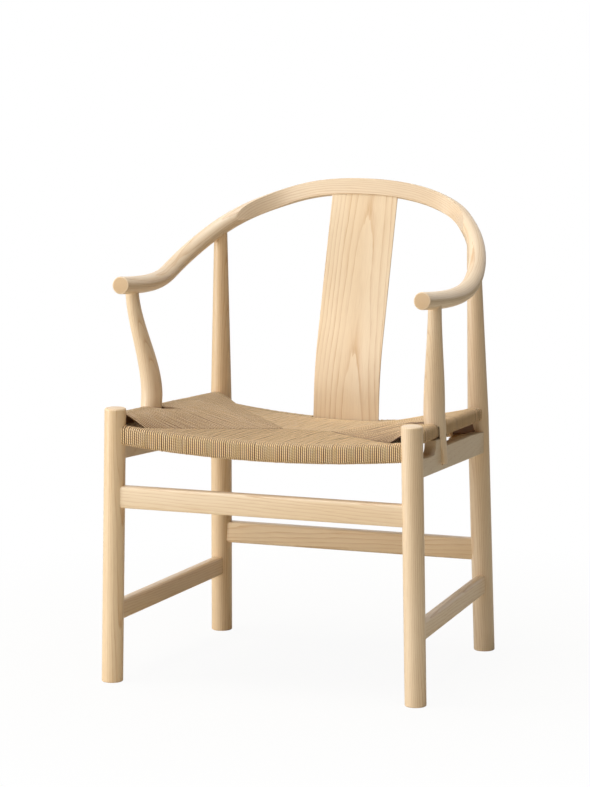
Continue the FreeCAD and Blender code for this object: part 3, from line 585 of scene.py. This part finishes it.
def splat_line():
    """The board's middle line from the seat up into the bow, as points, each with its angle."""
    low, high, top_z = radians(3.5), back_lean, 785.6 * mm
    bend_y, bend_z, radius = 161.06 * mm, 430 * mm, 400 * mm
    centre = np.array([0, bend_y + cos(low) * radius, bend_z - sin(low) * radius])
    rows = [(np.array([0, bend_y - (bend_z - z) * sin(low) / cos(low), z]), low)
            for z in (0.380, 0.400, 0.415)]
    rows += [(centre + np.array([0, -cos(a), sin(a)]) * radius, a) for a in np.linspace(low, high, 14)]
    leave = rows[-1][0]
    reach = (top_z - leave[2]) / cos(high)
    rows += [(leave + lean * reach * share, high) for share in np.linspace(0, 1, 9)[1:]]
    return rows


def bar_outline(centre, across, over, width, height, rounding, steps=5, undercut=0.0):
    """A rectangle with rounded corners, width along across, narrower by undercut on the side of over."""
    points = []
    for sx, sy, start in ((1, 1, 0), (-1, 1, 90), (-1, -1, 180), (1, -1, 270)):
        for turn in np.radians(start + np.linspace(0, 90, steps)):
            x = sx * (width / 2 - rounding) + rounding * cos(turn)
            y = sy * (height / 2 - rounding) + rounding * sin(turn)
            x *= 1 - undercut * (y / height + 0.5) / width
            points.append(centre + across * x + over * y)
    return np.array(points)


# The heart of the tree lay behind the board, at a distance that lets the tenth ring leave the face as
# an arch 135 mm above the foot, a little to the left of the middle.
splat_heart = (-12.5 * mm, splat_thickness / 2 - (10 * splat_ring - splat_taper * 135 * mm))
rows = splat_line()
outlines, places = [], []
for (centre, angle), along in zip(rows, length_so_far(np.array([row[0] for row in rows]))):
    through = np.array([0, cos(angle), -sin(angle)])
    size = (splat_width, splat_thickness, splat_rounding, 8)
    outlines.append(bar_outline(centre, east, through, *size, splat_undercut))
    places.append(bar_outline(np.array([*splat_heart, along]), east, north, *size))
finish_piece(stacked("splat", outlines, places), ash_wide, "back_splat")
print("splat", round(along, 3), "m along its bend")

# %% Stretchers
bar_rounding, bar_end = 5 * mm, 5 * mm


def straight_bar(name, start, end, width, height, heart, node, wood=ash):
    """A planed bar from leg to leg. Its ends stop inside the round legs."""
    along = unit(end - start)
    across = unit(np.cross(along, sky))
    over = np.cross(across, along)
    length = np.linalg.norm(end - start)
    size = (width, height, bar_rounding)
    outlines, places = [], []
    for s in np.linspace(bar_end, length - bar_end, 12):
        outlines.append(bar_outline(start + along * s, across, over, *size))
        places.append(bar_outline(np.array([*heart, s]), east, north, *size))
    return finish_piece(stacked(name, outlines[::-1], places[::-1]), wood, node)


flip = np.array([-1, 1, 1])
high_front, middle_rear = front_leg_axis(0.3156), rear_leg_axis(0.1782)
straight_bar("stretcher_front", high_front * flip, high_front, 22 * mm, 37 * mm, (0.060, 0.045),
             "front_stretcher")
straight_bar("stretcher_rear", middle_rear * flip, middle_rear, 22 * mm, 37 * mm, (0.070, -0.030),
             "rear_stretcher", ash_warm_painted_bounce)
low_front, low_rear = front_leg_axis(0.1183), rear_leg_axis(0.1183)
straight_bar("stretcher_right", low_front, low_rear, 18 * mm, 33 * mm, (0.052, 0.038), "right_stretcher")
straight_bar("stretcher_left", low_front * flip, low_rear * flip, 18 * mm, 33 * mm, (-0.064, 0.05),
             "left_stretcher", ash_warm_painted_bounce)
print("four stretchers")

# %% [markdown]
# ## The woven seat
#
# The seat is one paper cord, 3.5 mm thick and twisted from three strips, wound round the four rails. At
# every turn it crosses itself at right angles, so the cords lie in four panels that meet in lines, the
# mitres, from the corners to a short ridge. Each pass is drawn as its own tube: up from inside the
# seat at the mitre, over the rail, round it and back below. In each front corner the first pass
# starts away from the leg, which leaves a three-cornered opening between the cords.

# %% Where the panels meet
cord_radius = 3.5 * mm / 2
corner_gap = 21.3 * mm
side_rail_start, side_rail_end = front_leg_axis(rail_front_z), rear_leg_axis(rail_rear_z)


def side_rail_at(y):
    """The middle of the right side rail at a place from front to back."""
    share = (y - side_rail_start[1]) / (side_rail_end[1] - side_rail_start[1])
    return side_rail_start + (side_rail_end - side_rail_start) * share


first_y = front_y + corner_gap
last_y = side_rail_end[1] - (side_rail_end[1] - side_rail_start[1]) * corner_gap / leg_depth
first = np.array([side_rail_at(first_y)[0] - 47 * mm, first_y, 430 * mm])
ridge = np.array([43.5 * mm, front_y + 215 * mm, 408.5 * mm])
last = np.array([side_rail_at(last_y)[0] - 42 * mm, last_y, 408 * mm])
mitre = np.array([first, ridge, last])
ridge_depth, corner_depth = 15 * mm, 20 * mm


def mitre_at(y):
    """The mitre's point at a given y, with the seat's thickness there."""
    point = np.array([np.interp(y, mitre[:, 1], mitre[:, axis]) for axis in range(3)])
    return point, np.interp(y, mitre[:, 1], [corner_depth, ridge_depth, corner_depth])


# Each turn of the cord adds one pass to every panel, so each mitre crosses as many passes.
turns_of_cord = 46
front_pitch, rear_pitch = (np.array([first[0], last[0]]) - ridge[0]) / turns_of_cord
side_pitch = (ridge[1] - first_y) / turns_of_cord
print("ridge from", -ridge[0], "to", ridge[0], "and", turns_of_cord, "turns of cord")

# %% One pass of the cord
rail_rounding = 4 * mm


def round_rail(middle, inward, width, height):
    """The cord's way over and round a rail, from the inner top corner to the inner bottom corner."""
    r = rail_rounding + cord_radius
    w, h = width / 2 + cord_radius, height / 2 + cord_radius
    path = []
    for sx, sz, start, stop in ((-1, 1, 125, 90), (1, 1, 90, 0), (1, -1, 0, -90), (-1, -1, -90, -125)):
        for turn in np.radians(np.linspace(start, stop, 4)):
            x = sx * (w - r) + r * cos(turn)
            z = sz * (h - r) + r * sin(turn)
            path.append(middle - inward * x + sky * z)
    return path


def over_padding(start, edge, lift):
    """The cord's way across a panel, from the mitre to the rail. Padding lifts it, most near the rail."""
    return [start + (edge - start) * s + sky * lift * sin(pi * s ** 1.8) for s in np.linspace(0, 1, 9)]


def closed_round(middle, inward, width, height):
    """A turn round the rail alone, where it fills the place beside a leg."""
    path = round_rail(middle, inward, width, height)
    w, h = width / 2 + cord_radius, height / 2 - rail_rounding
    for z in (-h, h):
        path.append(middle + inward * w + sky * z)
    return path + path[:1]


# Tension presses a cord a little flat, so wide that it all but touches the next.
cord_flatness, cord_spread, widest_pitch = 0.9, 0.488, 4.0 * mm
# A pass comes up from inside the seat, where it lies in shade, and is in the open after a few millimetres.
# That first stretch is painted dark as shade.
painted_shade_until, painted_shade_gone_at = 8 * mm, 16 * mm
uneven_every = 30 * mm


def cord_mesh(name, passes, pitch, paper):
    """Tubes along flat paths, each (points, direction square to the path's plane). A hand-wound cord isn't
    quite even, so each pass is moved sideways and up or down by tenths of a millimetre."""
    points, faces, places = [], [], []
    sides = 10
    turns = np.arange(sides) * 2 * pi / sides
    half_across = min(pitch, widest_pitch) * cord_spread
    chance = np.random.default_rng(7)
    for number, (path, square) in enumerate(passes):
        path = np.array(path)
        tangent = np.gradient(path, axis=0)
        tangent /= np.linalg.norm(tangent, axis=1, keepdims=True)
        normal = np.cross(square, tangent)
        normal /= np.linalg.norm(normal, axis=1, keepdims=True)
        run_along = length_so_far(path)
        # The painted shade is kept off a pass that starts on the rail, in the open.
        if run_along[1] < painted_shade_until:  # it starts on the rail, in the open, so none of it is dark
            run_along += 20 * mm
        start = sum(len(p) for p in points)
        jitter, swell, phase = chance.normal(0, 0.11 * mm), chance.normal(1, 0.04), chance.random()
        knots = np.arange(0, run_along[-1] + uneven_every, uneven_every)
        uneven = np.interp(run_along, knots, chance.normal(0, 0.2 * mm, len(knots)))
        path = path + normal * uneven[:, None]
        for k in range(len(path)):
            ring_at = np.outer(np.cos(turns), normal[k]) * cord_radius * cord_flatness * swell
            ring_at += np.outer(np.sin(turns), square) * half_across * swell
            points.append(path[k] + square * jitter + ring_at)
            places.append(np.stack([turns / (2 * pi), np.full(sides, run_along[k]),
                                    np.full(sides, number + phase)], axis=1))
        for k in range(len(path) - 1):
            a, b = start + k * sides, start + (k + 1) * sides
            for i in range(sides):
                j = (i + 1) % sides
                faces.append((a + i, b + i, b + j, a + j))
        faces.append(tuple(start + i for i in range(sides)))
        faces.append(tuple(start + (len(path) - 1) * sides + i for i in range(sides))[::-1])
    obj = mesh_piece(name, np.vstack(points), faces, np.vstack(places), "lay")
    return finish_piece(obj, paper, "woven_seat")


# %% [markdown]
# ## Paper cord
#
# The cord is unbleached kraft paper, twisted from three strips: matt and tan. The furrows between the
# strips are bumped, and painted darker as shade. A furrow winds once round in 13 mm. The tone drifts along
# the cord and from pass to pass. Little light gets between two passes, so the flanks of each tube are
# painted brown as shade. Loose fibres give the paper a faint warm sheen at its edges. The first 8 to 16 mm
# of a pass are inside the seat, and are painted dark as shade.

# %% Paper cord material
twist_length = 13 * mm


def paper_cord(name, tint, gap, gap_from, gap_to):
    """Twisted cord. Tint scales the paper, to paint a panel lighter or darker. Gap is the colour of
    painted
    shade on the flanks: it begins at gap_from and is full at gap_to, where 0 is a cord's top and 1 its
    side."""
    material, tree = new_material(name)
    lay = add_node(tree, "ShaderNodeAttribute", {"attribute_name": "lay"}).outputs["Vector"]
    split = add_node(tree, "ShaderNodeSeparateXYZ", Vector=lay)
    turned = add_node(tree, "ShaderNodeMath", {"operation": "MULTIPLY_ADD"}, _0=split.outputs["X"], _1=3.0,
                      _2=split.outputs["Z"])
    wound = add_node(tree, "ShaderNodeMath", {"operation": "MULTIPLY_ADD"}, _0=split.outputs["Y"],
                     _1=3 / twist_length, _2=turned.outputs[0])
    furrow = add_node(tree, "ShaderNodeMath", {"operation": "PINGPONG"}, _0=wound.outputs[0], _1=0.5)
    strip = add_ramp(tree, furrow.outputs[0], [(0.0, grey(0)), (0.28, grey(0.8)), (0.5, grey(1))])
    # The tone drifts over 17 mm of cord, and a step of 7.3 parts each pass from the next.
    along = add_node(tree, "ShaderNodeVectorMath", {"operation": "MULTIPLY"}, _0=lay, _1=(0.0, 60.0, 7.3))
    patchy = add_node(tree, "ShaderNodeTexNoise", Vector=along.outputs[0], Scale=1.0, Detail=2.0)
    tone = add_ramp(tree, patchy.outputs["Fac"],
                    [(0.25, tinted("#F3D6A6", tint)), (0.50, tinted("#F8E1B9", tint)),
                     (0.75, tinted("#FCE9CA", tint))])
    # The furrows between the strips are painted darker as shade, besides their bump.
    twisted = add_node(tree, "ShaderNodeMix", {"data_type": "RGBA"}, _0=strip,
                       _6=tinted("#C3945A", tint), _7=tone)
    # The flanks of each tube are painted with the gap colour, as shade from the passes beside it.
    beside = add_node(tree, "ShaderNodeMath", {"operation": "MULTIPLY"}, _0=split.outputs["X"], _1=2 * pi)
    beside = add_node(tree, "ShaderNodeMath", {"operation": "SINE"}, _0=beside.outputs[0])
    beside = add_node(tree, "ShaderNodeMath", {"operation": "ABSOLUTE"}, _0=beside.outputs[0])
    painted_flank_shade = add_ramp(tree, beside.outputs[0],
                       [(gap_from, grey(0)), ((gap_from + gap_to) / 2, grey(0.5)), (gap_to, grey(1))])
    shade = add_node(tree, "ShaderNodeMix", {"data_type": "RGBA"}, _0=painted_flank_shade, _6=twisted.outputs[2],
                     _7=linear(gap))
    # The first millimetres of a pass, inside the seat, are painted dark brown as shade.
    outside_painted_shade = add_node(tree, "ShaderNodeMapRange", Value=split.outputs["Y"],
                        From_Min=painted_shade_until, From_Max=painted_shade_gone_at)
    shade = add_node(tree, "ShaderNodeMix", {"data_type": "RGBA"}, _0=outside_painted_shade.outputs[0],
                     _6=linear("#4A2A14"), _7=shade.outputs[2])
    bump = add_node(tree, "ShaderNodeBump", Height=strip, Distance=0.35 * mm, Strength=0.7)
    skin = add_node(tree, "ShaderNodeBsdfPrincipled", Base_Color=shade.outputs[2], Roughness=0.72, IOR=1.5,
                    Sheen_Weight=0.35, Sheen_Roughness=0.4, Sheen_Tint=linear("#FFE6B8"),
                    Normal=bump.outputs[0])
    add_node(tree, "ShaderNodeOutputMaterial", Surface=skin.outputs[0])
    return material


# One cord in three tones that paint light and shade. The left and rear panels get a pale copy with narrow
# gaps, as painted light. The front one is tan, with deep painted shade in its gaps that shows its stripes
# on the roll. The right one, in shade, is tinted a deeper tan as painted shade.
cord_painted_lit = paper_cord("kraft paper cord, three strips twisted, pale", (1, 1, 1), "#7A5330", 0.62, 0.97)
cord_tan = paper_cord("kraft paper cord, three strips twisted", (0.99, 0.93, 0.85), "#4C280E", 0.42, 0.87)
cord_painted_shaded = paper_cord("kraft paper cord, three strips twisted, deeper tan", (0.88, 0.81, 0.73),
                       "#45240C", 0.32, 0.86)
print("three tones of paper cord")

# %% Side panels
side_rail_size = (16 * mm, 18 * mm)
side_lift, lift_span = 6.5 * mm, 150 * mm
slit, slit_half, slit_behind = 10 * mm, 9 * mm, 5 * mm
pushed_back, push_fades, push_reach = 4.5 * mm, 16 * mm, 24 * mm


def side_passes(flip):
    """The passes of the right panel, or with flip -1 of the left one. They part round the arm post."""
    passes = []
    post_y = post_foot[1]
    for y in np.concatenate([np.linspace(first_y, ridge[1], turns_of_cord, False),
                             np.linspace(ridge[1], last_y, turns_of_cord + 1)]):
        middle = side_rail_at(y)
        point, depth = mitre_at(y)
        over = round_rail(middle, -east, *side_rail_size)
        start, low = point - sky * cord_radius, point - sky * (depth - cord_radius)
        dive = start + np.array([-0.4 * mm, 0, 2 * cord_radius - depth])
        lift = side_lift * min(1.0, (over[0][0] - start[0]) / lift_span)
        if abs(y - post_y) < post_radius - 1 * mm:
            # Cords that meet the post dive beside it, some sooner, which leaves a small slit there.
            wall = post_foot[0] - sqrt(post_radius ** 2 - (y - post_y) ** 2)
            wall -= slit * max(0.0, 1 - abs(y - post_y - slit_behind) / slit_half)
            top = over[0] + (start - over[0]) * (over[0][0] - wall) / (over[0][0] - start[0])
            passes.append([dive] + over_padding(start, top, lift) + [top - sky * 7 * mm])
            passes.append(over[7:] + over_padding(low, over[-1], -lift)[-2::-1])
        else:
            path = np.array([dive] + over_padding(start, over[0], lift) + over[1:]
                            + over_padding(low, over[-1], -lift)[-2::-1])
            behind = (y - post_y - post_radius) / push_fades
            if -0.1 < behind < 1:
                # The post pushes the cords behind it back, less with each cord.
                near_rail = np.clip((path[:, 0] - over[0][0] + push_reach) / push_reach, 0, 1)
                path[:, 1] += pushed_back * (1 - max(behind, 0)) * near_rail ** 2
            passes.append(path)
    ends = [first_y - side_pitch, last_y + side_pitch]
    passes += [closed_round(side_rail_at(y), -east, *side_rail_size) for y in ends]
    mirror = np.array([flip, 1, 1])
    return [(np.array(path) * mirror, north) for path in passes]


cord_mesh("cord_right", side_passes(1), side_pitch, cord_painted_shaded)
cord_mesh("cord_left", side_passes(-1), side_pitch, cord_painted_lit)
print("side cords every", round(side_pitch / mm, 2), "mm")

# %% Front and rear panels
cross_rail_size, cross_lift = (15 * mm, 26 * mm), 1.0 * mm
below_mitre = 0.6 * mm


def cross_passes(half_span, y, end_top, dip, crossing, toward_seat, stop_x):
    """The passes over a cross rail that dips in the middle. In the rear panel they stop at the splat.
    Beyond the mitre, up to stop_x, turns round the rail alone fill the place beside the leg."""
    passes = []
    radius = (half_span ** 2 + dip ** 2) / (2 * dip)
    blocked = splat_width / 2 + cord_radius if toward_seat[1] < 0 else 0.0

    def rail_at(x):
        drop = dip - (radius - sqrt(radius ** 2 - x ** 2))
        return np.array([x, y, end_top - cross_rail_size[1] / 2 - drop])

    outer = np.linspace(ridge[0], crossing[0], turns_of_cord + 1)
    pitch = outer[1] - outer[0]
    middle_count = 2 * round(ridge[0] / pitch)
    inner = np.linspace(-ridge[0], ridge[0], middle_count + 1)[1:-1]
    for x in np.concatenate([-outer[::-1], inner, outer]):
        share = max(0.0, (abs(x) - ridge[0]) / (crossing[0] - ridge[0]))
        point = np.array([x, *(ridge[1:] + (crossing[1:] - ridge[1:]) * share)])
        depth = ridge_depth + (corner_depth - ridge_depth) * share
        over = round_rail(rail_at(x), toward_seat, *cross_rail_size)
        start, low = point - sky * (cord_radius + below_mitre), point - sky * (depth - cord_radius)
        dive = start + toward_seat * 0.4 * mm - sky * (depth - 2 * cord_radius)
        below = over_padding(low, over[-1], -cross_lift)[-2::-1]
        if abs(x) < blocked:
            share_in = (y - splat_thickness / 2 - start[1]) / (over[0][1] - start[1])
            stop = start + (over[0] - start) * min(share_in, 1.0)
            passes.append([dive] + over_padding(start, stop, cross_lift))
            passes.append(over[5:] + below)
        else:
            passes.append([dive] + over_padding(start, over[0], cross_lift) + over[1:] + below)
    for side in (-1, 1):
        x = crossing[0] + pitch
        while x < stop_x:
            over = round_rail(rail_at(side * x), toward_seat, *cross_rail_size)
            low = over[-1] + toward_seat * 26 * mm - sky * 2 * mm
            passes.append(over + over_padding(low, over[-1], 0.0)[-2::-1])
            x += pitch
    return [(path, east) for path in passes]


rear_rail_y = 158.72 * mm
front_passes = cross_passes(260.3 * mm, front_y, 434.1 * mm, 14.9 * mm, first, north, 247 * mm)
rear_passes = cross_passes(235.2 * mm, rear_rail_y, 410.4 * mm, 18.7 * mm, last, -north, 226 * mm)
cord_mesh("cord_front", front_passes, front_pitch, cord_tan)
cord_mesh("cord_rear", rear_passes, rear_pitch, cord_painted_lit)
print("cord laid in four panels")
